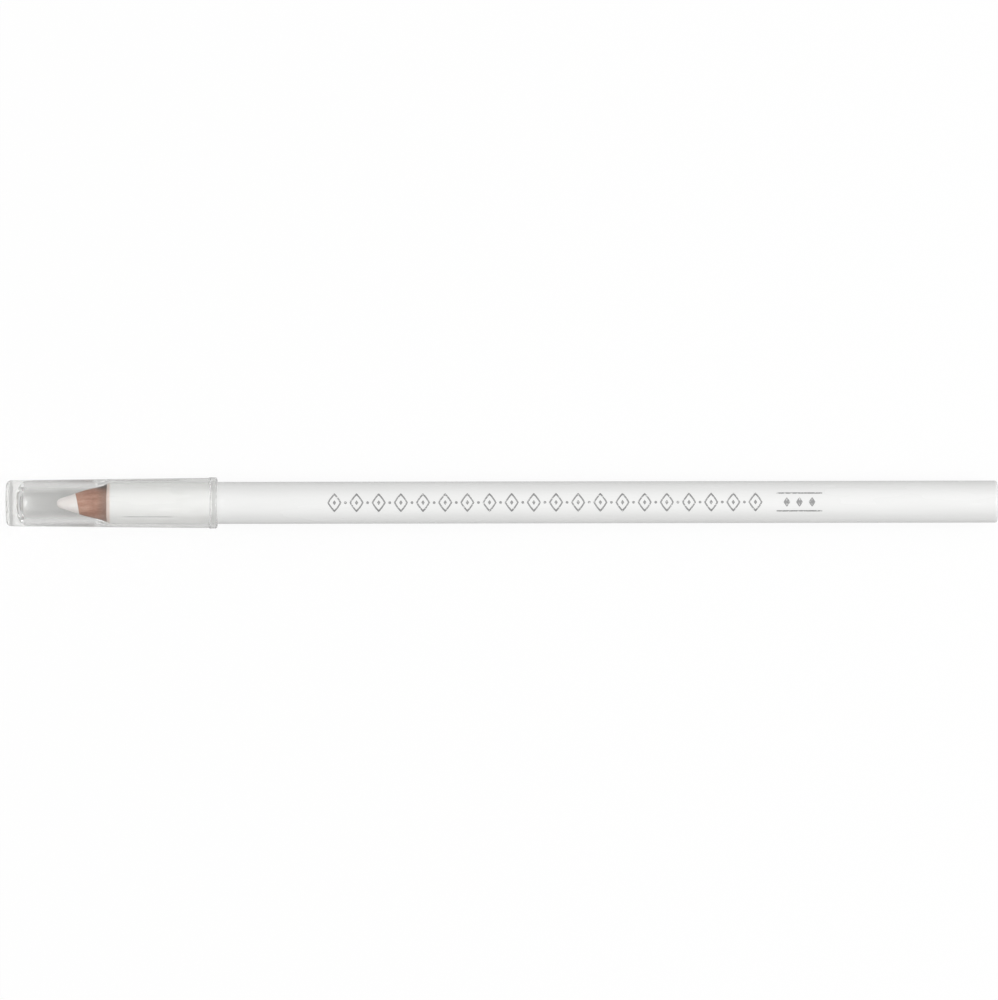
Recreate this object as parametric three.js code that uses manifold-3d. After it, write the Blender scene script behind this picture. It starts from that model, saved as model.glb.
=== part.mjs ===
// Kohl pencil: a round wood-cased cosmetic pencil under white lacquer, with a clear cap pushed over its point.
// Lengths are in millimetres and angles in degrees. Every piece is turned about the pencil's own axis: the x of
// a profile is its distance from that axis, and its y is the station along the pencil, which starts at the
// lead's tip and grows towards the dipped end. The assembly is then laid along +X, cap towards -X, on z = 0.

import * as THREE from "three";
import { mergeVertices } from "three/addons/utils/BufferGeometryUtils.js";
import Module from "manifold-3d";

// Pencil
const PENCIL_LENGTH = 175; // lead tip to the crown of the dipped end
const BARREL_DIAMETER = 7.8; // over the lacquer
const LACQUER_THICKNESS = 0.2;
const LEAD_DIAMETER = 3.8;
const POINT_HALF_ANGLE = 18; // of the sharpened cone
const TIP_RADIUS = 0.95; // the soft lead ends blunt
const BOND_GAP = 0.03; // glue or primer between two bonded faces

// Dipped end
const DIP_LAND = 0.2; // straight stretch before the edge rolls over
const DIP_EDGE_RADIUS = 0.5;
const DIP_CROWN_RADIUS = 20;

// Cap, inside
const CAP_CLEARANCE = 0.1; // between barrel and bore, at the seat
const BORE_DRAFT = 0.2;
const SEAT_CLEARANCE = 0.15; // between the sharpened cone and its seat
const SEAT_WIDTH = 1.1; // step in radius from the bore down to the tip pocket
const TIP_ROOM = 7.45; // lead tip to the end of the tip pocket
const POCKET_END_RADIUS = 2.1; // roll of the tip pocket's end
const CAP_GRIP = 20.1; // length of bore along the barrel
const LEAD_IN_LENGTH = 1.5;
const LEAD_IN_DEPTH = 0.22;

// Cap, outside
const CAP_WALL = 0.6; // at the mouth
const CAP_DRAFT = 0.6;
const CAP_END_WALL = 1.95;
const CAP_END_RADIUS = 0.9; // roll of the closed end's edge
const BEAD_LENGTH = 1.6;
const BEAD_HEIGHT = 0.1;
const MOUTH_EDGE_RADIUS = 0.4;

// Grip ribs in the bore
const RIB_COUNT = 3;
const RIB_WIDTH = 0.5;
const RIB_GAP = 0.03; // between rib and barrel
const RIB_RAMP = 1;
const RIB_SEAT_SETBACK = 1.5;
const RIB_MOUTH_SETBACK = 7.2;
const RIB_FIRST_ANGLE = -49; // about the pencil's axis

// Fineness of the facets
const SEGMENTS = 32; // round the axis
const ARC_STEPS = 3; // an arc in a profile gets twice as many chords

const wasm = await Module();
wasm.setup();

const { degToRad } = THREE.MathUtils;
const pointAngle = degToRad(POINT_HALF_ANGLE);

// Radii
const barrelRadius = BARREL_DIAMETER / 2;
const coatInnerRadius = barrelRadius - LACQUER_THICKNESS;
const casingRadius = coatInnerRadius - BOND_GAP;
const leadRadius = LEAD_DIAMETER / 2;
const grooveRadius = leadRadius + BOND_GAP;
const boreRadius = barrelRadius + CAP_CLEARANCE;
const pocketRadius = boreRadius - SEAT_WIDTH;

// Stations of the sharpened cone, which cuts lead, casing and lacquer alike, and of the seat that follows it
const apexStation = TIP_RADIUS - TIP_RADIUS / Math.sin(pointAngle);
const coneStation = (radius) => apexStation + radius / Math.tan(pointAngle);
const seatStation = (radius) => coneStation(radius - SEAT_CLEARANCE / Math.cos(pointAngle));

// The crown of the dip rolls into its edge without a corner
const crownAngle = Math.asin((barrelRadius - DIP_EDGE_RADIUS) / (DIP_CROWN_RADIUS - DIP_EDGE_RADIUS));
const crownHeight = DIP_CROWN_RADIUS - (DIP_CROWN_RADIUS - DIP_EDGE_RADIUS) * Math.cos(crownAngle);
const dipEdgeStation = PENCIL_LENGTH - crownHeight;
const dipSeatStation = dipEdgeStation - DIP_LAND;
const cutStation = dipSeatStation - BOND_GAP; // where lead, casing and coat are sawn off square

// Stations and tapers of the cap
const pocketEndStation = -TIP_ROOM;
const capEndStation = pocketEndStation - CAP_END_WALL;
const boreEndStation = seatStation(boreRadius);
const mouthStation = boreEndStation + CAP_GRIP;
const beadStation = mouthStation - BEAD_LENGTH;
const boreAt = (station) => boreRadius + (station - boreEndStation) * Math.tan(degToRad(BORE_DRAFT));
const wallAt = (station) =>
  boreAt(mouthStation) + CAP_WALL - (mouthStation - station) * Math.tan(degToRad(CAP_DRAFT));
const beadRadius = wallAt(mouthStation) + BEAD_HEIGHT;

// A flat of every turned piece faces straight down, so the pencil lies on the flat of the cap's bead
const axisHeight = beadRadius * Math.cos(Math.PI / SEGMENTS);

function turned(profile) {
  return new THREE.LatheGeometry(profile.getPoints(ARC_STEPS), SEGMENTS, Math.PI / SEGMENTS);
}

function solidOf(geometry) {
  geometry.deleteAttribute("normal");
  geometry.deleteAttribute("uv");
  const merged = mergeVertices(geometry);
  const vertProperties = merged.getAttribute("position").array;
  const triVerts = Uint32Array.from(merged.getIndex().array);
  return new wasm.Manifold(new wasm.Mesh({ numProp: 3, vertProperties, triVerts }));
}

function geometryOf(solid) {
  const { vertProperties, triVerts } = solid.getMesh();
  const geometry = new THREE.BufferGeometry();
  geometry.setAttribute("position", new THREE.BufferAttribute(vertProperties, 3));
  geometry.setIndex(new THREE.BufferAttribute(triVerts, 1));
  geometry.computeVertexNormals();
  return geometry;
}

function piece(name, geometry, material) {
  const mesh = new THREE.Mesh(geometry, new THREE.MeshStandardMaterial(material));
  mesh.name = name;
  return mesh;
}

// Soft lead: a blunt tip, the cone, then a plain rod to the sawn end
function leadGeometry() {
  const profile = new THREE.Path();
  profile.absarc(0, TIP_RADIUS, TIP_RADIUS, -Math.PI / 2, -pointAngle, false);
  profile.lineTo(leadRadius, coneStation(leadRadius));
  profile.lineTo(leadRadius, cutStation);
  profile.lineTo(0, cutStation);
  return turned(profile);
}

// A sleeve sharpened along the cone at its front and sawn square at its back
function sharpenedSleeve(innerRadius, outerRadius) {
  const profile = new THREE.Path();
  profile.moveTo(innerRadius, coneStation(innerRadius));
  profile.lineTo(outerRadius, coneStation(outerRadius));
  profile.lineTo(outerRadius, cutStation);
  profile.lineTo(innerRadius, cutStation);
  profile.closePath();
  return turned(profile);
}

// One grooved half of the wooden casing; side is +1 for the upper half and -1 for the lower
function slatGeometry(side) {
  const half = new THREE.BoxGeometry(BARREL_DIAMETER, PENCIL_LENGTH, barrelRadius);
  half.translate(0, PENCIL_LENGTH / 2, (side * (barrelRadius + BOND_GAP)) / 2);
  const casing = solidOf(sharpenedSleeve(grooveRadius, casingRadius));
  return geometryOf(casing.intersect(solidOf(half)));
}

// Drop of lacquer over the sawn end: a short land, a rolled edge and a shallow crown
function dipGeometry() {
  const profile = new THREE.Path();
  const crownCentre = PENCIL_LENGTH - DIP_CROWN_RADIUS;
  const edgeEndAngle = Math.PI / 2 - crownAngle;
  profile.moveTo(0, dipSeatStation);
  profile.lineTo(barrelRadius, dipSeatStation);
  profile.lineTo(barrelRadius, dipEdgeStation);
  profile.absarc(barrelRadius - DIP_EDGE_RADIUS, dipEdgeStation, DIP_EDGE_RADIUS, 0, edgeEndAngle, false);
  profile.absarc(0, crownCentre, DIP_CROWN_RADIUS, edgeEndAngle, Math.PI / 2, false);
  return turned(profile);
}

// The cap without its ribs: along the outside to the mouth, then back in through bore, seat and tip pocket
function capShellGeometry() {
  const profile = new THREE.Path();
  const rollStation = capEndStation + CAP_END_RADIUS;
  const rollCentre = wallAt(rollStation) - CAP_END_RADIUS;
  const mouthEdgeCentre = beadRadius - MOUTH_EDGE_RADIUS;
  const mouthEdgeStation = mouthStation - MOUTH_EDGE_RADIUS;
  const leadInStation = mouthStation - LEAD_IN_LENGTH;
  const pocketRollStation = pocketEndStation + POCKET_END_RADIUS;
  const pocketRollCentre = pocketRadius - POCKET_END_RADIUS;
  profile.moveTo(0, capEndStation);
  profile.lineTo(rollCentre, capEndStation);
  profile.absarc(rollCentre, rollStation, CAP_END_RADIUS, -Math.PI / 2, 0, false);
  profile.lineTo(wallAt(beadStation), beadStation);
  profile.lineTo(beadRadius, beadStation + BEAD_HEIGHT);
  profile.lineTo(beadRadius, mouthEdgeStation);
  profile.absarc(mouthEdgeCentre, mouthEdgeStation, MOUTH_EDGE_RADIUS, 0, Math.PI / 2, false);
  profile.lineTo(boreAt(mouthStation) + LEAD_IN_DEPTH, mouthStation);
  profile.lineTo(boreAt(leadInStation), leadInStation);
  profile.lineTo(boreRadius, boreEndStation);
  profile.lineTo(pocketRadius, seatStation(pocketRadius));
  profile.lineTo(pocketRadius, pocketRollStation);
  profile.absarc(pocketRollCentre, pocketRollStation, POCKET_END_RADIUS, 0, -Math.PI / 2, true);
  profile.lineTo(0, pocketEndStation);
  return turned(profile);
}

// A low rib along the bore, ramped at both ends and rooted in the wall, turned to its place round the axis
function ribGeometry(index) {
  const startStation = boreEndStation + RIB_SEAT_SETBACK;
  const endStation = mouthStation - RIB_MOUTH_SETBACK;
  const crestRadius = barrelRadius + RIB_GAP;
  const rootRadius = boreRadius + CAP_WALL / 2;
  const outline = new THREE.Shape();
  outline.moveTo(rootRadius, startStation);
  outline.lineTo(rootRadius, endStation);
  outline.lineTo(crestRadius, endStation - RIB_RAMP);
  outline.lineTo(crestRadius, startStation + RIB_RAMP);
  outline.closePath();
  const rib = new THREE.ExtrudeGeometry(outline, { depth: RIB_WIDTH, bevelEnabled: false });
  rib.translate(0, 0, -RIB_WIDTH / 2);
  rib.rotateY(degToRad(RIB_FIRST_ANGLE) + (index * 2 * Math.PI) / RIB_COUNT);
  return rib;
}

function capGeometry() {
  const ribs = Array.from({ length: RIB_COUNT }, (_, index) => solidOf(ribGeometry(index)));
  const shell = solidOf(capShellGeometry());
  return geometryOf(ribs.reduce((solid, rib) => solid.add(rib), shell));
}

const cedar = { color: 0xb88872, roughness: 0.75, metalness: 0 };
const creamKohl = { color: 0xf0ece6, roughness: 0.6, metalness: 0 };
const whiteLacquer = { color: 0xf4f4f2, roughness: 0.25, metalness: 0 };
const clearPlastic = { color: 0xf2f3f0, roughness: 0.08, metalness: 0, transparent: true, opacity: 0.3 };

const pencil = new THREE.Group();
pencil.add(
  piece("kohl_lead", leadGeometry(), creamKohl),
  piece("upper_slat", slatGeometry(1), cedar),
  piece("lower_slat", slatGeometry(-1), cedar),
  piece("lacquer_coat", sharpenedSleeve(coatInnerRadius, barrelRadius), whiteLacquer),
  piece("end_dip", dipGeometry(), whiteLacquer),
);

const cap = new THREE.Group();
cap.add(piece("clear_cap", capGeometry(), clearPlastic));

const cappedPencil = new THREE.Group();
cappedPencil.add(pencil, cap);
cappedPencil.rotation.z = -Math.PI / 2; // stations run along +X, and the profiles' z stays up
cappedPencil.position.set(-(PENCIL_LENGTH + capEndStation) / 2, 0, axisHeight);

export default cappedPencil;
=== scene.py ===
# %% [markdown]
# # A kohl pencil under a clear cap
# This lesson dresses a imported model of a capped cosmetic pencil. The frame comes first: it holds
# the solids at their real size and says which of them move. Every surface made below goes where
# the frame says, in metres, with the pencil lying along X, its cap towards -X and its lowest line
# on z = 0.

# %% Load the frame
import math

import bmesh
import bpy
import numpy as np
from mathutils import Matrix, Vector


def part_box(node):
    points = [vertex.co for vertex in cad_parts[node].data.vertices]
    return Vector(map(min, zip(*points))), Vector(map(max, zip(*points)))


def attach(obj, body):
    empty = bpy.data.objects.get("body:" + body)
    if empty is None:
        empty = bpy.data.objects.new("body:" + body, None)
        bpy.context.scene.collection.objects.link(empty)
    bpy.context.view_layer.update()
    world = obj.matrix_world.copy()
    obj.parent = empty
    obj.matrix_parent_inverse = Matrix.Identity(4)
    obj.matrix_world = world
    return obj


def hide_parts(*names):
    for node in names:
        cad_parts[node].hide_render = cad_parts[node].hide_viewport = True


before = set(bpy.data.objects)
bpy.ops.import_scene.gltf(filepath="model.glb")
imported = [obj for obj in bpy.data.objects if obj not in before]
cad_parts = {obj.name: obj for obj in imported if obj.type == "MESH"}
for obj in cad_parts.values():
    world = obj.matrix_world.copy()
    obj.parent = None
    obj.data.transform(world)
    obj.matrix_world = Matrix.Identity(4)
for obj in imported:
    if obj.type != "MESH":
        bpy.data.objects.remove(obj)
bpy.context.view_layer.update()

MM = 0.001

# %% [markdown]
# ## Sizes
# Whatever the frame can tell is read from its nodes: the height of the axis and where pieces start
# and end. The sizes that a box can't tell, such as a cone's angle or a wall inside the cap, are
# written once here.

# %% Places read from the frame
axis_z = sum(corner.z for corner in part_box("lacquer_coat")) / 2
tip_x, cut_x = (corner.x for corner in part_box("kohl_lead"))
dip_x, end_x = (corner.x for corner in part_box("end_dip"))
cap_x, mouth_x = (corner.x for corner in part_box("clear_cap"))
bead_radius = (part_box("clear_cap")[1].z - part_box("clear_cap")[0].z) / 2
print("axis height", round(axis_z / MM, 3), "mm, pencil", round((end_x - tip_x) / MM, 2), "mm long")

# %% Sizes of the pencil and the cap
BARREL_RADIUS = 3.9 * MM
COAT_THICKNESS = 0.2 * MM
LEAD_RADIUS = 1.9 * MM
BOND_GAP = 0.03 * MM
TIP_RADIUS = 0.95 * MM
POINT_ANGLE = math.radians(18)
DIP_EDGE_RADIUS = 0.5 * MM
DIP_CROWN_RADIUS = 20 * MM
BORE_RADIUS = 4.0 * MM
BORE_DRAFT = math.radians(0.2)
POCKET_RADIUS = 2.9 * MM
POCKET_ROLL = 2.1 * MM
SEAT_ROLL = 8.0 * MM
SEAT_CLEARANCE = 0.15 * MM
TIP_ROOM = 7.45 * MM
CAP_WALL = 0.6 * MM
CAP_DRAFT = math.radians(0.6)

coat_inner = BARREL_RADIUS - COAT_THICKNESS
casing_radius = coat_inner - BOND_GAP
groove_radius = LEAD_RADIUS + BOND_GAP
apex_x = tip_x + TIP_RADIUS - TIP_RADIUS / math.sin(POINT_ANGLE)


def cone_x(radius):
    """Where the sharpened cone has this radius: x = apex + radius / tan(half angle)."""
    return apex_x + radius / math.tan(POINT_ANGLE)


def seat_x(radius):
    """The same for the cap's seat, which lies one clearance outside the cone."""
    return cone_x(radius - SEAT_CLEARANCE / math.cos(POINT_ANGLE))


print("sharpened length", round((cone_x(BARREL_RADIUS) - tip_x) / MM, 2), "mm")

# %% [markdown]
# ## Surfaces on a grid
# Every piece is a grid of points: rows run along a profile, columns run round the axis. A grid
# becomes a mesh of quads in one step, with no loop over vertices. Rows that shrink to one point
# close into a pole when doubles merge.

# %% From grid to mesh
MERGE_DISTANCE = 1e-8
SHARP_DEGREES = 40


def grid_quads(rows, columns, wrap_rows, wrap_columns):
    """Indices of the quads between neighbours of a grid, joined to the start where it wraps."""
    index = np.arange(rows * columns).reshape(rows, columns)
    if wrap_rows:
        index = np.vstack([index, index[:1]])
    if wrap_columns:
        index = np.hstack([index, index[:, :1]])
    corners = (index[:-1, :-1], index[1:, :-1], index[1:, 1:], index[:-1, 1:])
    return np.stack(corners, axis=-1).reshape(-1, 4)


def mesh_piece(name, points, faces, sharp_degrees=SHARP_DEGREES):
    """An object at the origin from arrays of points and faces, closed, pointing out and smooth."""
    mesh = bpy.data.meshes.new(name)
    mesh.from_pydata(points.reshape(-1, 3).tolist(), [], faces.tolist())
    shape = bmesh.new()
    shape.from_mesh(mesh)
    bmesh.ops.remove_doubles(shape, verts=shape.verts, dist=MERGE_DISTANCE)
    bmesh.ops.recalc_face_normals(shape, faces=shape.faces)
    shape.to_mesh(mesh)
    shape.free()
    mesh.shade_smooth()
    mesh.set_sharp_from_angle(angle=math.radians(sharp_degrees))
    piece = bpy.data.objects.new(name, mesh)
    bpy.context.collection.objects.link(piece)
    print(name, len(mesh.vertices), "points,", len(mesh.polygons), "faces")
    return piece


print("3 rows of 4 points make", len(grid_quads(3, 4, False, False)), "quads")


# %% Round the axis
def around(x, radius, turn):
    """Points round the axis, turn 0 on top: (x, -radius sin(turn), axis + radius cos(turn))."""
    x, radius, turn = np.broadcast_arrays(x, radius, turn)
    return np.stack([x, -radius * np.sin(turn), axis_z + radius * np.cos(turn)], axis=-1)


def full_turn(columns):
    """Angles of one full turn as a row, without the repeated last one."""
    return np.linspace(0, 2 * np.pi, columns, endpoint=False)[None, :]


print("a quarter turn from the top is at", around(0.0, 1.0, np.pi / 2).round(3), "for radius 1")

# %% [markdown]
# Real edges are never knife sharp, and light shows it. A profile is given as corners with a roll
# for each, and every roll becomes an arc that touches the two sides beside it.

# %% Profiles with rolled corners
NO_ROLL = 1e-9
NO_LENGTH = 1e-12


def rolled(corners, arc_points=7, closed=False):
    """Polyline (n, 2) through corners (x, radius, roll): each roll is an arc tangent to both of its
    sides, which it meets at roll * tan(turn / 2) from the corner."""
    spots = np.array([corner[:2] for corner in corners], float)
    rolls = np.array([corner[2] for corner in corners], float)
    before = spots - np.roll(spots, 1, axis=0)
    after = np.roll(spots, -1, axis=0) - spots
    before /= np.linalg.norm(before, axis=1, keepdims=True)
    after /= np.linalg.norm(after, axis=1, keepdims=True)
    half_turn = np.arccos(np.clip((before * after).sum(axis=1), -1, 1)) / 2
    if not closed:
        rolls[[0, -1]] = 0
    reach = rolls * np.tan(half_turn)
    share = np.linspace(-1, 1, arc_points)[None, :] * half_turn[:, None]
    along = before + after
    along /= np.linalg.norm(along, axis=1, keepdims=True)
    inward = after - before
    inward /= np.maximum(np.linalg.norm(inward, axis=1, keepdims=True), NO_LENGTH)
    centre = spots + inward * (rolls / np.cos(half_turn))[:, None]
    arcs = centre[:, None] + rolls[:, None, None] * (
        np.sin(share)[..., None] * along[:, None] - np.cos(share)[..., None] * inward[:, None]
    )
    plain = reach < NO_ROLL
    runs = [spots[i : i + 1] if plain[i] else arcs[i] for i in range(len(corners))]
    return np.concatenate(runs)


def filled(profile, step):
    """The same polyline with its long sides split into pieces of at most this length."""
    starts, stops = profile[:-1], profile[1:]
    sides = np.linalg.norm(stops - starts, axis=1)
    counts = np.maximum(np.ceil(sides / step).astype(int), 1)
    runs = [np.linspace(a, b, n, endpoint=False) for a, b, n in zip(starts, stops, counts)]
    return np.concatenate(runs + [profile[-1:]])


print("a rolled corner:", len(rolled([(0, 0, 0), (1, 0, 0.2), (1, 1, 0)])), "points with both ends")

# %% [markdown]
# ## The core
# The soft lead is sharpened with the wood, so it shares the wood's cone and ends in a blunt tip. It
# never sits quite in the middle: a lead a little off centre makes the ring where it meets the wood
# slant, as it does on real pencils.

# %% The lead's radius round the axis, and its surface
LEAD_OFFSET = 0.13 * MM
LEAD_OFFSET_TURN = math.radians(80)
CORE_COLUMNS = 128
TIP_ROWS, CONE_ROWS, ROD_ROWS, END_ROWS = 20, 24, 24, 6


def off_centre(radius, turn):
    """Radius of a circle that has slipped off the axis: radius + offset * cos(turn - direction)."""
    return radius + LEAD_OFFSET * np.cos(turn - LEAD_OFFSET_TURN)


def lead_surface():
    """Blunt tip: x = tip + R (1 - cos s), radius = R sin s. Then the cone out to the slipped radius,
    the rod and its flat end."""
    turn = full_turn(CORE_COLUMNS)
    s = np.linspace(0, np.pi / 2 - POINT_ANGLE, TIP_ROWS)[:, None]
    tip = around(tip_x + TIP_RADIUS * (1 - np.cos(s)), TIP_RADIUS * np.sin(s), turn)
    rim = off_centre(LEAD_RADIUS, turn)
    start = TIP_RADIUS * math.cos(POINT_ANGLE)
    radius = start + np.linspace(0, 1, CONE_ROWS)[1:, None] * (rim - start)
    cone = around(cone_x(radius), radius, turn)
    rod_x = np.linspace(cone_x(rim)[0], np.full(CORE_COLUMNS, cut_x), ROD_ROWS)[1:]
    rod = around(rod_x, rim, turn)
    end = around(cut_x, rim * np.linspace(1, 0, END_ROWS)[1:, None], turn)
    return np.concatenate([tip, cone, rod, end])


points = lead_surface()
kohl_core = mesh_piece("kohl_core", points, grid_quads(*points.shape[:2], False, True))

# %% [markdown]
# ## The casing
# Two grooved slats are glued round the lead and turned round. Each half is a sleeve swept through
# half a turn: its cone in front, its back, its saw cut and its groove make one closed ribbon, and
# two flat faces close the parting.

# %% Half sleeves of wood
SLAT_COLUMNS = 97


def sleeve_ribbon(inner, outer, turn, cone_rows=28, rod_rows=24):
    """Closed ribbon of a sharpened sleeve: up the cone from inner to outer radius, back along the
    outside, and home along the inside, row for row, so that row pairs bound the parting faces."""
    share = np.linspace(0, 1, cone_rows)[:, None]
    cone_radius = inner + share * (outer - inner)
    cone_at = cone_x(cone_radius)
    rod_at = np.linspace(cone_at[-1], np.full(turn.shape[1], cut_x), rod_rows)[1:]
    x = np.concatenate([cone_at, rod_at])
    outside_radius = np.concatenate([cone_radius, np.broadcast_to(outer, rod_at.shape)])
    return around(x, outside_radius, turn), around(x, inner, turn)[::-1]


def slat(name, middle):
    """One half of the casing, centred on the turn given: half a turn wide, less half the glue gap
    on either side."""
    edge = math.asin(BOND_GAP / 2 / casing_radius)
    turn = middle + np.linspace(-np.pi / 2 + edge, np.pi / 2 - edge, SLAT_COLUMNS)[None, :]
    inner = off_centre(groove_radius, turn)
    outside, inside = sleeve_ribbon(inner, np.full_like(turn, casing_radius), turn)
    points = np.concatenate([outside, inside])
    rows = len(points)
    faces = grid_quads(rows, SLAT_COLUMNS, True, False)
    row = np.arange(rows // 2 - 1)
    parting = np.stack([row, row + 1, rows - 2 - row, rows - 1 - row], axis=1) * SLAT_COLUMNS
    faces = np.concatenate([faces, parting, parting + SLAT_COLUMNS - 1])
    return mesh_piece(name, points, faces)


upper_wood = slat("upper_wood", 0.0)
lower_wood = slat("lower_wood", np.pi)

# %% [markdown]
# ## The coat and the dipped end
# White lacquer covers the wood in a skin a fifth of a millimetre thick. The sharpener cuts it back
# along the cone, never perfectly, so its edge wanders a little. The blunt end was dipped once more
# and dried to a shallow dome.

# %% Lacquer sleeve
COAT_COLUMNS = 160
COAT_STEP = 4 * MM
COAT_EDGE_ROLL = 0.3 * MM
EDGE_WANDER = 0.05 * MM
WANDER_REACH = 4 * MM
WANDER_WAVES = ((0.6, 1, 0.4), (0.3, 3, 1.9), (0.25, 7, 5.0))


def wander(turn):
    """A closed, slowly varying line round the pencil: cosines of different share, count and phase."""
    waves = [share * np.cos(count * turn + phase) for share, count, phase in WANDER_WAVES]
    return sum(waves) * EDGE_WANDER


def coat_surface():
    """Cone face, a rolled front edge, the long outside, whose rim runs up to the dip and so hides
    the bond, the saw cut and the inside, as one ring of rows. The wander fades out behind the edge."""
    turn = full_turn(COAT_COLUMNS)
    corners = [
        (cone_x(coat_inner), coat_inner, 0.0),
        (cone_x(BARREL_RADIUS), BARREL_RADIUS, COAT_EDGE_ROLL),
        (dip_x, BARREL_RADIUS, 0.0),
        (cut_x, coat_inner, 0.0),
    ]
    profile = rolled(corners)
    profile = filled(np.concatenate([profile, profile[:1]]), COAT_STEP)[:-1]
    x, radius = profile[:, :1], profile[:, 1:]
    near_front = np.clip(1 - (x - cone_x(coat_inner)) / WANDER_REACH, 0, 1)
    return around(x + near_front * wander(turn), radius, turn)


points = coat_surface()
lacquer_skin = mesh_piece("lacquer_skin", points, grid_quads(*points.shape[:2], True, True))

# %% Dipped end
SEAT_ROWS, ARC_ROWS = 8, 14


def dip_surface():
    """Flat seat, straight land, rolled edge and a crown of one large radius. The two arcs share a
    tangent where the crown's radius leans by asin((barrel - roll) / (crown - roll))."""
    turn = full_turn(COAT_COLUMNS)
    arm = DIP_CROWN_RADIUS - DIP_EDGE_RADIUS
    lean = math.asin((BARREL_RADIUS - DIP_EDGE_RADIUS) / arm)
    edge_x = end_x - DIP_CROWN_RADIUS + arm * math.cos(lean)
    s = np.linspace(0, np.pi / 2 - lean, ARC_ROWS)
    roll_x = edge_x + DIP_EDGE_RADIUS * np.sin(s)
    roll_radius = BARREL_RADIUS - DIP_EDGE_RADIUS * (1 - np.cos(s))
    s = np.linspace(lean, 0, ARC_ROWS)[1:]
    crown_x = end_x - DIP_CROWN_RADIUS * (1 - np.cos(s))
    crown_radius = DIP_CROWN_RADIUS * np.sin(s)
    x = np.concatenate([np.full(SEAT_ROWS, dip_x), roll_x, crown_x])[:, None]
    seat_radius = np.linspace(0, BARREL_RADIUS, SEAT_ROWS)
    radius = np.concatenate([seat_radius, roll_radius, crown_radius])[:, None]
    return around(x, radius, turn)


points = dip_surface()
dipped_end = mesh_piece("dipped_end", points, grid_quads(*points.shape[:2], False, True))

# %% [markdown]
# ## The clear cap
# The cap is one moulding. Light bends at its outside, its bore, its conical seat and its tip pocket,
# so all of them are real surfaces with rolled edges. The three grip ribs are pushed out of the
# bore's own grid: a separate strip would leave a wall inside the plastic, and the eye would see it.
# Just inside the mouth the bore widens over a short slant. Light that comes down through the plastic
# can't leave at so steep an angle, so a dark line marks the place.

# %% Sizes of the cap's details
BEAD_LENGTH = 1.6 * MM
BEAD_RAMP = 0.1 * MM
MOUTH_ROLL = 0.4 * MM
END_ROLL = 0.9 * MM
LEAD_IN_LENGTH = 1.3 * MM
LEAD_IN_DEPTH = 0.22 * MM
LEAD_IN_STEP = 0.15 * MM
STEP_ROLL = 0.02 * MM
CRISP_ROLL = 0.04 * MM
RIB_HEIGHT = 0.07 * MM
RIB_WIDTH = 0.5 * MM
RIB_SEAT_SETBACK = 1.5 * MM
RIB_MOUTH_SETBACK = 7.2 * MM
RIB_RAMP = 1.0 * MM
RIB_TURNS = np.radians([41, 161, 281])

bore_end_x = seat_x(BORE_RADIUS)


def bore_at(x):
    """Radius of the drafted bore: it opens towards the mouth by tan(draft) per length."""
    return BORE_RADIUS + (x - bore_end_x) * math.tan(BORE_DRAFT)


def wall_at(x):
    """Radius of the drafted outside: it narrows from the mouth to the closed end."""
    return bore_at(mouth_x) + CAP_WALL - (mouth_x - x) * math.tan(CAP_DRAFT)


print("cap", round((mouth_x - cap_x) / MM, 2), "mm long")
print("bore", round((mouth_x - bore_end_x) / MM, 2), "mm long")

# %% Cap profile
CAP_ARC_POINTS = 15
CAP_STEP = 0.8 * MM


def cap_profile():
    """Corners with rolls: the outside from the closed end to the mouth, then lead-in, bore, seat
    and pocket."""
    bead_x = mouth_x - BEAD_LENGTH
    lead_in_x = mouth_x - LEAD_IN_LENGTH
    pocket_x = tip_x - TIP_ROOM
    corners = [
        (cap_x, 0.0, 0.0),
        (cap_x, wall_at(cap_x), END_ROLL),
        (bead_x, wall_at(bead_x), CRISP_ROLL),
        (bead_x + BEAD_RAMP, bead_radius, CRISP_ROLL),
        (mouth_x, bead_radius, MOUTH_ROLL),
        (mouth_x, bore_at(mouth_x) + LEAD_IN_DEPTH, CRISP_ROLL),
        (lead_in_x + LEAD_IN_STEP, bore_at(lead_in_x) + LEAD_IN_STEP, STEP_ROLL),
        (lead_in_x, bore_at(lead_in_x), STEP_ROLL),
        (bore_end_x, BORE_RADIUS, SEAT_ROLL),
        (seat_x(POCKET_RADIUS), POCKET_RADIUS, SEAT_ROLL),
        (pocket_x, POCKET_RADIUS, POCKET_ROLL),
        (pocket_x, 0.0, 0.0),
    ]
    return filled(rolled(corners, CAP_ARC_POINTS), CAP_STEP)


print("cap profile:", len(cap_profile()), "points")

# %% Cap surface
CAP_COLUMNS = 360
CAP_SHARP_DEGREES = 60
ON_BORE = 0.001 * MM


def rib_push(x, turn):
    """How far the bore is pushed in: a ramp up and down along x, times a hump across each rib that
    is full within a quarter of the rib's width and gone at three quarters."""
    start, stop = bore_end_x + RIB_SEAT_SETBACK, mouth_x - RIB_MOUTH_SETBACK
    along = np.clip(np.minimum(x - start, stop - x) / RIB_RAMP, 0, 1)
    across = np.zeros_like(turn)
    for rib in RIB_TURNS:
        gap = np.abs((turn - rib + np.pi) % (2 * np.pi) - np.pi) * BORE_RADIUS
        across = across + np.clip(1.5 - 2 * gap / RIB_WIDTH, 0, 1)
    return RIB_HEIGHT * along * np.clip(across, 0, 1)


def cap_surface():
    """The profile carried round the axis, with the ribs taken off the radius where the profile runs
    along the bore."""
    profile = cap_profile()
    turn = full_turn(CAP_COLUMNS)
    x, radius = profile[:, :1], profile[:, 1:]
    in_bore = (np.abs(radius - bore_at(x)) < ON_BORE) & (x > bore_end_x) & (x < mouth_x)
    return around(x, radius - in_bore * rib_push(x, turn), turn)


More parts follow.
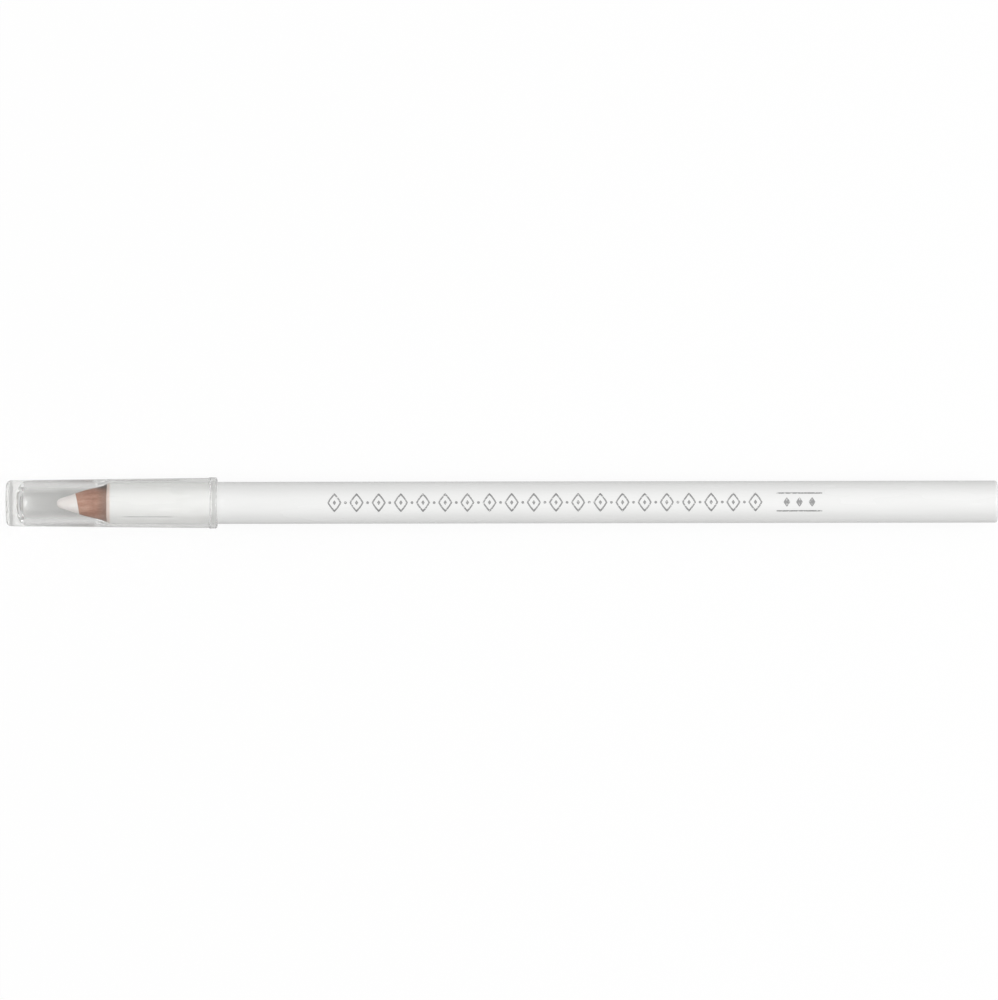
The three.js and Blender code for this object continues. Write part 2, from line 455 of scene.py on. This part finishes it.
points = cap_surface()
faces = grid_quads(*points.shape[:2], False, True)
cap_moulding = mesh_piece("cap_moulding", points, faces, CAP_SHARP_DEGREES)

# %% [markdown]
# ## The foil stamp
# Silver foil is pressed on the lacquer with a hot die: a row of open lozenges with a seed in each
# and a dot between them, then a small tablet of two rules. A texture could draw it, but foil has an
# edge that catches light, so every stroke is a thin closed plate bent round the barrel.

# %% Outlines on the barrel
FOIL_PROUD = 0.02 * MM
FOIL_ROOT = 0.02 * MM


def superellipse(half_x, half_v, power, steps):
    """|x / half_x| ** power + |v / half_v| ** power = 1: near 1 a lozenge, 2 an ellipse, above 5 a
    rounded bar."""
    s = np.linspace(0, 2 * np.pi, steps, endpoint=False)
    c, t = np.cos(s), np.sin(s)
    x = half_x * np.sign(c) * np.abs(c) ** (2 / power)
    v = half_v * np.sign(t) * np.abs(t) ** (2 / power)
    return x, v


def on_barrel(x, v, height):
    """Points on the lacquer: x along it, v round it as an arc from the top line, height above it."""
    return around(x, BARREL_RADIUS + height, v / BARREL_RADIUS)


print("foil", round((FOIL_PROUD + FOIL_ROOT) / MM, 3), "mm thick")


# %% Open and solid motifs
def open_motif(half_x, half_v, power, stroke, steps=72):
    """Ring of four lines: outer outline at root and crown, inner outline at crown and root. The
    inner half axes are smaller by stroke * diagonal / the other half axis, which keeps a lozenge's
    stroke even."""
    diagonal = math.hypot(half_x, half_v)
    inner_half = (half_x - stroke * diagonal / half_v, half_v - stroke * diagonal / half_x)
    outer = superellipse(half_x, half_v, power, steps)
    inner = superellipse(*inner_half, power, steps)
    x, v = (np.stack([outer[i], outer[i], inner[i], inner[i]]) for i in (0, 1))
    height = np.array([-FOIL_ROOT, FOIL_PROUD, FOIL_PROUD, -FOIL_ROOT])[:, None]
    return x, v, height, True


def solid_motif(half_x, half_v, power, steps=24):
    """Plate of four rows: a pole at the root, the outline at root and crown, a pole at the crown."""
    x, v = (np.outer([0, 1, 1, 0], line) for line in superellipse(half_x, half_v, power, steps))
    height = np.array([-FOIL_ROOT, -FOIL_ROOT, FOIL_PROUD, FOIL_PROUD])[:, None]
    return x, v, height, False


def stamped(motif, centres, across):
    """One motif repeated at every centre: its grid is shifted along x, and its faces follow with
    their own numbers."""
    x, v, height, wraps = motif
    grid = on_barrel(x + centres[:, None, None], v + across, height)
    quads = grid_quads(*x.shape, wraps, True)
    shift = np.arange(len(centres))[:, None, None] * x.size
    return grid.reshape(-1, 3), (quads + shift).reshape(-1, 4)


print("an open motif has", open_motif(2.0, 2.0, 2, 0.1)[0].size, "points")

# %% The stamp's layout
ROW_FROM_END = (124.7 * MM, 44.0 * MM)
TABLET_FROM_END = (41.4 * MM, 32.9 * MM)
LOZENGES = 20
LOZENGE_HALF = (1.3 * MM, 1.8 * MM)
LOZENGE_POWER, ROUND_POWER, BAR_POWER = 1.12, 2, 8
STROKE = 0.26 * MM
SEED_HALF = (0.3 * MM, 0.44 * MM)
DOT_HALF = 0.26 * MM
RULE_HALF = 0.12 * MM
RULE_PLACES = np.array([-1.7, 1.7]) * MM
TABLET_LOZENGES = 3
TABLET_SPREAD = 0.55

row_start = end_x - ROW_FROM_END[0] + LOZENGE_HALF[0]
row_stop = end_x - ROW_FROM_END[1] - LOZENGE_HALF[0]
row_x = np.linspace(row_start, row_stop, LOZENGES)
tablet_x = end_x - sum(TABLET_FROM_END) / 2
tablet_half = (TABLET_FROM_END[0] - TABLET_FROM_END[1]) / 2
tablet_row = tablet_x + np.linspace(-TABLET_SPREAD, TABLET_SPREAD, TABLET_LOZENGES) * tablet_half
tablet_seed = (2 * SEED_HALF[0], 2 * SEED_HALF[1])
rule = solid_motif(tablet_half, RULE_HALF, BAR_POWER)
layout = [
    (open_motif(*LOZENGE_HALF, LOZENGE_POWER, STROKE), row_x, 0.0),
    (solid_motif(*SEED_HALF, LOZENGE_POWER), row_x, 0.0),
    (solid_motif(DOT_HALF, DOT_HALF, ROUND_POWER), (row_x[1:] + row_x[:-1]) / 2, 0.0),
    (solid_motif(*tablet_seed, LOZENGE_POWER), tablet_row, 0.0),
] + [(rule, np.array([tablet_x]), place) for place in RULE_PLACES]

plates = [stamped(*entry) for entry in layout]
starts = np.cumsum([0] + [len(spots) for spots, _ in plates])
points = np.concatenate([spots for spots, _ in plates])
faces = np.concatenate([quads + start for (_, quads), start in zip(plates, starts)])
foil_stamp = mesh_piece("foil_stamp", points, faces)

# %% [markdown]
# ## Bodies and nodes
# Each surface rides on the body it belongs to and stands in for its solid; its finish is listed
# beside it and is put on below. The foil has no solid of its own: it only rides on the pencil.

# %% Ride and replace
for piece, body, node, slot in (
    (kohl_core, "pencil", "kohl_lead", "cream_kohl"),
    (upper_wood, "pencil", "upper_slat", "cedar"),
    (lower_wood, "pencil", "lower_slat", "cedar"),
    (lacquer_skin, "pencil", "lacquer_coat", "white_lacquer"),
    (dipped_end, "pencil", "end_dip", "white_lacquer"),
    (cap_moulding, "cap", "clear_cap", "clear_plastic"),
):
    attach(piece, body)
    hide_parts(node)

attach(foil_stamp, "pencil")
print("6 surfaces stand in for solids, and the foil rides on the pencil")

# %% [markdown]
# ## Finishes
# Every finish is a Principled shader fed by noise in the pieces' own metres, so its grain has a real
# size and stays put on the piece. A few helpers keep the node code short: some make signals between
# 0 and 1, the others turn signals into colours, bumps and finishes.


# %% Nodes and signals
def add_node(tree, kind, inputs, **settings):
    """A shader node with its settings. Its inputs, by name or number, take a value or a socket."""
    made = tree.nodes.new("ShaderNode" + kind)
    for name, value in settings.items():
        setattr(made, name, value)
    for name, value in inputs.items():
        if isinstance(value, bpy.types.NodeSocket):
            tree.links.new(value, made.inputs[name])
        else:
            made.inputs[name].default_value = value
    return made


def own_place(tree):
    """Where a point lies on its piece, in metres."""
    return add_node(tree, "TexCoord", {}).outputs["Object"]


def noise(tree, size, stretch=(1, 1, 1), detail=2.0):
    """Noise between 0 and 1 with features of about this size in metres, drawn out where the stretch
    is above 1."""
    scale = [1 / (size * along) for along in stretch]
    mapped = add_node(tree, "Mapping", {"Vector": own_place(tree), "Scale": scale})
    grain = {"Vector": mapped.outputs["Vector"], "Scale": 1.0, "Detail": detail}
    return add_node(tree, "TexNoise", grain).outputs["Fac"]


def rising(tree, value, start, stop, low=0.0, high=1.0):
    """A straight rise from low, where the value is at start, to high, where it is at stop."""
    span = {"Value": value, "From Min": start, "From Max": stop, "To Min": low, "To Max": high}
    return add_node(tree, "MapRange", span).outputs["Result"]


def between(tree, value, low, high):
    """The middle half of a 0 to 1 signal, spread from low to high."""
    return rising(tree, value, 0.25, 0.75, low, high)


# %% Colours, bumps and finishes
def ramp(tree, value, *stops):
    """A colour for each value: stops are (place, colour) in order."""
    made = add_node(tree, "ValToRGB", {"Fac": value})
    scale = made.color_ramp
    while len(scale.elements) < len(stops):
        scale.elements.new(0.5)
    for element, (place, color) in zip(scale.elements, stops):
        element.position = place
        element.color = (*color, 1)
    return made.outputs["Color"]


def blended(tree, share, under, over):
    """One colour laid over another: under * (1 - share) + over * share."""
    layers = {0: share, 6: under, 7: over}
    return add_node(tree, "Mix", layers, data_type="RGBA").outputs[2]


def bump(tree, height, depth, under=None):
    """A bump of this depth in metres from a 0 to 1 height, laid on another bump if one is given."""
    inputs = {"Height": height, "Strength": 1.0, "Distance": depth}
    if under:
        inputs["Normal"] = under
    return add_node(tree, "Bump", inputs).outputs["Normal"]


def new_finish(name, pieces, inputs):
    """A material of this name on these pieces, with constants on the shader's own sockets. Gives
    its node tree and its shader."""
    material = bpy.data.materials.new(name)
    material.use_nodes = True
    shader = material.node_tree.nodes["Principled BSDF"]
    for socket, value in inputs.items():
        shader.inputs[socket].default_value = value
    for piece in pieces:
        piece.data.materials.append(material)
    print("finish", name, "on", [piece.name for piece in pieces])
    return material.node_tree, shader


def feed(tree, shader, **links):
    """Links sockets to the shader's inputs, with underscores for the spaces in their names."""
    for name, socket in links.items():
        tree.links.new(socket, shader.inputs[name.replace("_", " ")])


# %% [markdown]
# ### Lacquer
# Pencil lacquer is laid on in many thin coats pulled along the barrel. It is never mirror flat: a
# faint orange peel and long drag marks soften its reflections. At the sharpened edge the knife lays
# bare the warmer primer under it, and the colour runs from primer to white at the brim of that cut.

# %% White lacquer
LACQUER_WHITES = ((0.3, (0.855, 0.856, 0.847)), (0.7, (0.882, 0.883, 0.875)))
LACQUER_ROUGHNESS = (0.22, 0.30)
PRIMER = (0.86, 0.735, 0.67, 1)
PRIMER_FADE = 0.3 * MM
DRAG_SIZE, DRAG_DEPTH = 3 * MM, 0.006 * MM
PEEL_SIZE, PEEL_DEPTH = 1.1 * MM, 0.004 * MM

tree, shader = new_finish("white_lacquer", (lacquer_skin, dipped_end), {"IOR": 1.5})
drag = noise(tree, DRAG_SIZE, (6, 1, 1))
white = ramp(tree, drag, *LACQUER_WHITES)
along = add_node(tree, "SeparateXYZ", {"Vector": own_place(tree)}).outputs["X"]
brim_x = cone_x(BARREL_RADIUS)
covered = rising(tree, along, brim_x - PRIMER_FADE / 2, brim_x + PRIMER_FADE / 2)
coat_color = blended(tree, covered, PRIMER, white)
peel = bump(tree, noise(tree, PEEL_SIZE), PEEL_DEPTH, bump(tree, drag, DRAG_DEPTH))
gloss = between(tree, drag, *LACQUER_ROUGHNESS)
feed(tree, shader, Base_Color=coat_color, Roughness=gloss, Normal=peel)

# %% [markdown]
# ### Cedar
# Pencil cedar is a soft red-brown wood with fibres that run along the slat. A sharpener cuts across
# them at a low angle, so the cone shows long streaks, darker late wood between paler early wood, and
# the faint rings of the blade. The coat's sealer soaks into the outermost wood, and the cone lays
# this bare as a dull band beside the coat. On the +Y side a nearly black patch near the coat is
# painted shade, darkening that edge of the cone as if it lay in shadow.

# %% Cedar grain
WOODS = (
    (0.45, (0.29, 0.132, 0.086)),
    (0.68, (0.465, 0.232, 0.158)),
    (0.92, (0.59, 0.345, 0.250)),
)
WOOD_ROUGHNESS = (0.6, 0.8)
LATE_WOOD_SIZE = 0.9 * MM
FIBRE_SIZE, FIBRE_DEPTH = 0.16 * MM, 0.03 * MM
FIBRE_SHARE = 0.45
BLADE_RING_PITCH, BLADE_RING_DEPTH = 3.2 * MM, 0.006 * MM

tree, shader = new_finish("cedar", (upper_wood, lower_wood), {"Specular IOR Level": 0.3})
late_wood = noise(tree, LATE_WOOD_SIZE, (9, 1, 1.6), 3.0)
fibre = noise(tree, FIBRE_SIZE, (22, 1, 1), 2.0)
grain = {0: fibre, 1: FIBRE_SHARE, 2: late_wood}
streaks = add_node(tree, "Math", grain, operation="MULTIPLY_ADD").outputs[0]
bare_wood = ramp(tree, streaks, *WOODS)
blade = {"Vector": own_place(tree), "Scale": 1 / BLADE_RING_PITCH, "Distortion": 1.5}
rings = add_node(tree, "TexWave", blade, bands_direction="X").outputs["Fac"]
cut_wood = bump(tree, rings, BLADE_RING_DEPTH, bump(tree, fibre, FIBRE_DEPTH))
feed(tree, shader, Roughness=between(tree, fibre, *WOOD_ROUGHNESS), Normal=cut_wood)

# %% Sealer in the wood, and painted shade on one side
SOAKED_WOOD = (0.25, 0.19, 0.16, 1)
SOAKED_LENGTH = 1.8 * MM
SOAKED_SHARE = 0.6
# Painted shade: a nearly black colour laid on the +Y edge of the cone's last 2 mm, standing in for
# shadow.
PAINTED_SHADE = (0.035, 0.03, 0.027, 1)
PAINTED_SHADE_LENGTH = 1.9 * MM
PAINTED_SHADE_FADE = 0.8 * MM
PAINTED_SHADE_SIDE = (2.1 * MM, 2.9 * MM)
PAINTED_SHADE_SHARE = 0.85

spot = add_node(tree, "SeparateXYZ", {"Vector": own_place(tree)}).outputs
wood_end_x = cone_x(casing_radius)
soaked = rising(tree, spot["X"], wood_end_x - SOAKED_LENGTH, wood_end_x, 0.0, SOAKED_SHARE)
soaked_wood = blended(tree, soaked, bare_wood, SOAKED_WOOD)
# The painted shade fades in along the cone towards the coat, and across towards +Y.
painted_shade_x = wood_end_x - PAINTED_SHADE_LENGTH
painted_shade_front = (painted_shade_x - PAINTED_SHADE_FADE / 2, painted_shade_x + PAINTED_SHADE_FADE / 2)
painted_shade_mask = rising(tree, spot["X"], *painted_shade_front, 0.0, PAINTED_SHADE_SHARE)
painted_shade_mask = rising(tree, spot["Y"], *PAINTED_SHADE_SIDE, 0.0, painted_shade_mask)
feed(tree, shader, Base_Color=blended(tree, painted_shade_mask, soaked_wood, PAINTED_SHADE))
print("sealer shows on the last", round(SOAKED_LENGTH / MM, 2), "mm of wood")

# %% [markdown]
# ### Kohl
# The lead is wax and pigment: nearly white, soft, a little translucent, with a mottled skin where
# the blade has dragged it. A touch of subsurface light keeps it from looking like plaster.

# %% Cream kohl
KOHL_CREAMS = ((0.3, (0.92, 0.858, 0.835)), (0.7, (0.96, 0.918, 0.90)))
KOHL_ROUGHNESS = (0.42, 0.56)
MOTTLE_SIZE, MOTTLE_DEPTH = 0.7 * MM, 0.02 * MM

tree, shader = new_finish(
    "cream_kohl", (kohl_core,),
    {"Subsurface Weight": 0.12, "Subsurface Radius": (1.0, 0.8, 0.7), "Subsurface Scale": 0.6 * MM},
)
mottle = noise(tree, MOTTLE_SIZE, (2, 1, 1), 3.0)
kohl_color = ramp(tree, mottle, *KOHL_CREAMS)
wax = between(tree, mottle, *KOHL_ROUGHNESS)
feed(tree, shader, Base_Color=kohl_color, Roughness=wax, Normal=bump(tree, mottle, MOTTLE_DEPTH))

# %% [markdown]
# ### Foil
# Stamped foil is a metal skin a few microns thick. Its satin comes from the lacquer under it, and it
# never takes everywhere: where the die pressed lightly, white shows through in specks.

# %% Silver foil
SPECK_SIZE = 0.28 * MM
SPECK_START, SPECK_FULL = 0.56, 0.66
FOIL_GREY = (0.36, 0.36, 0.36)
SPECK_WHITE = (0.72, 0.72, 0.71)
FOIL_ROUGHNESS = (0.25, 0.45)

tree, shader = new_finish("silver_foil", (foil_stamp,), {})
specks = noise(tree, SPECK_SIZE, (1.5, 1, 1), 3.0)
foil_color = ramp(tree, specks, (SPECK_START, FOIL_GREY), (SPECK_FULL, SPECK_WHITE))
taken = rising(tree, specks, SPECK_START, SPECK_FULL, 1.0, 0.0)
satin = between(tree, specks, *FOIL_ROUGHNESS)
feed(tree, shader, Base_Color=foil_color, Metallic=taken, Roughness=satin)

# %% [markdown]
# ### Clear plastic
# The cap is polished clear styrene. Its look is all in its shape: the shader only needs full
# transmission, the right refraction and a whisper of roughness. Faint flow marks from the moulding
# ripple what is seen through it.

# %% Clear plastic
CLEAR_TINT = (0.975, 0.976, 0.97, 1)
FLOW_SIZE, FLOW_DEPTH = 5 * MM, 0.01 * MM

tree, shader = new_finish(
    "clear_plastic", (cap_moulding,),
    {"Base Color": CLEAR_TINT, "Roughness": 0.03, "Transmission Weight": 1.0, "IOR": 1.5},
)
feed(tree, shader, Normal=bump(tree, noise(tree, FLOW_SIZE, (2, 1, 1)), FLOW_DEPTH))

# %% [markdown]
# ## Floor
# The pencil lies on a pale grey sheet, which a picture exposed for a white background shows as
# white. Straight camera rays therefore meet a white sheet, nine tenths of it plain white and one
# tenth lit, so that the pencil keeps a soft trace of its shadow. Rays through the cap or mirrored in
# it meet a little of that white. All other rays meet the real grey, which keeps the light under the
# pencil honest.

# %% Pale floor
FLOOR_SIZE = 8.0

edge = FLOOR_SIZE / 2
sheet = np.array([[-edge, -edge, 0], [edge, -edge, 0], [edge, edge, 0], [-edge, edge, 0]])
floor = mesh_piece("floor", sheet, np.array([[0, 1, 2, 3]]))

# %% The floor's paper
FLOOR_GREY = (0.60, 0.60, 0.595, 1)
FLOOR_WHITE = (0.92, 0.92, 0.915, 1)
WHITE_SHARES = {"Is Camera Ray": 0.90, "Is Transmission Ray": 0.04, "Is Glossy Ray": 0.10}

paper = bpy.data.materials.new("pale_floor")
paper.use_nodes = True
tree = paper.node_tree
ray_kinds = add_node(tree, "LightPath", {}).outputs
share = 0.0
for kind, white_share in WHITE_SHARES.items():
    step = {0: ray_kinds[kind], 1: white_share, 2: share}
    share = add_node(tree, "Math", step, operation="MULTIPLY_ADD").outputs[0]
sheet_color = blended(tree, ray_kinds["Is Camera Ray"], FLOOR_GREY, FLOOR_WHITE)
lit = add_node(tree, "BsdfDiffuse", {"Color": sheet_color}).outputs[0]
plain_white = add_node(tree, "Emission", {"Strength": 1.0}).outputs[0]
seen = add_node(tree, "MixShader", {0: share, 1: lit, 2: plain_white}).outputs[0]
tree.links.new(seen, tree.nodes["Material Output"].inputs["Surface"])
floor.data.materials.append(paper)
print("shares of plain white:", WHITE_SHARES)

# %% [markdown]
# ## Light
# A light tent shines from the whole sky, about four times as strongly overhead as at the horizon, so
# the white barrel keeps a soft shade on both sides. One large softbox stands beyond the dipped end
# and tilts along the pencil: no side of a cylinder can mirror it, so it models the shapes without a
# glare stripe.

# %% Light tent
HORIZON_LIGHT = 0.24
OVERHEAD_LIGHT = 0.93
TENT_TILT = math.radians(2)

world = bpy.data.worlds.new("light_tent")
bpy.context.scene.world = world
world.use_nodes = True
tree = world.node_tree
heading = add_node(tree, "TexCoord", {}).outputs["Generated"]
up = (0, math.sin(TENT_TILT), math.cos(TENT_TILT))
height = add_node(tree, "VectorMath", {0: heading, 1: up}, operation="DOT_PRODUCT").outputs["Value"]
tent_range = {"Value": height, "To Min": HORIZON_LIGHT, "To Max": OVERHEAD_LIGHT}
tent = add_node(tree, "MapRange", tent_range, interpolation_type="SMOOTHSTEP").outputs["Result"]
straight = add_node(tree, "LightPath", {}).outputs["Is Camera Ray"]
strength = add_node(tree, "Mix", {0: straight, 2: tent, 3: 1.0}).outputs[0]
background = tree.nodes["Background"]
background.inputs["Color"].default_value = (1, 1, 1, 1)
tree.links.new(strength, background.inputs["Strength"])
print("tent from", HORIZON_LIGHT, "at the horizon to", OVERHEAD_LIGHT, "overhead")

# %% Softbox
LAMP_LEAN = math.radians(42)
LAMP_DISTANCE = 2.4
LAMP_SIZE = 1.3
LAMP_POWER = 26.0

lamp = bpy.data.lights.new("softbox", "AREA")
lamp.shape = "SQUARE"
lamp.size = LAMP_SIZE
lamp.energy = LAMP_POWER
softbox = bpy.data.objects.new("softbox", lamp)
softbox.location = LAMP_DISTANCE * np.array([math.sin(LAMP_LEAN), 0.0, math.cos(LAMP_LEAN)])
softbox.rotation_euler = softbox.location.to_track_quat("Z", "Y").to_euler()
softbox.visible_camera = False
bpy.context.collection.objects.link(softbox)
print("softbox", LAMP_POWER, "W at", LAMP_DISTANCE, "m")

# %% [markdown]
# ## Camera
# The picture looks straight down on the pencil, from far enough away to lose nearly all perspective.
# The lead's tip and the axis have known pixels in the picture, and the pencil lies a tenth of a
# degree off level in it.

# %% Camera
PICTURE = (998, 1000)
PIXELS_PER_MM = 5.382
TIP_PIXEL = 57.0
AXIS_PIXEL = 502.45
PICTURE_ROLL = math.radians(0.1)
LENS, SENSOR = 400, 36

camera = bpy.data.cameras.new("camera")
camera.lens = LENS
camera.sensor_width = SENSOR
distance = max(PICTURE) / PIXELS_PER_MM * MM * LENS / SENSOR
camera_object = bpy.data.objects.new("camera", camera)
camera_object.location = (
    tip_x + (PICTURE[0] / 2 - TIP_PIXEL) / PIXELS_PER_MM * MM,
    (AXIS_PIXEL - PICTURE[1] / 2) / PIXELS_PER_MM * MM,
    axis_z + distance,
)
camera_object.rotation_euler = (0, 0, -PICTURE_ROLL)
bpy.context.collection.objects.link(camera_object)
bpy.context.scene.camera = camera_object
bpy.context.scene.view_settings.view_transform = "Standard"
print("camera", round(distance, 3), "m above the axis")

# %% [markdown]
# ## Light paths
# Light that reaches the point through the cap crosses four surfaces and is often thrown back inside
# the wall. The usual limits cut such paths short and leave black patches, so more bounces are
# allowed, and glossy filtering, which swallows light behind clear plastic, is turned off.

# %% Bounces through the cap
BOUNCES = 96

paths = bpy.context.scene.cycles
paths.blur_glossy = 0
paths.max_bounces = BOUNCES
paths.glossy_bounces = BOUNCES
paths.transmission_bounces = BOUNCES
print("up to", paths.max_bounces, "bounces")
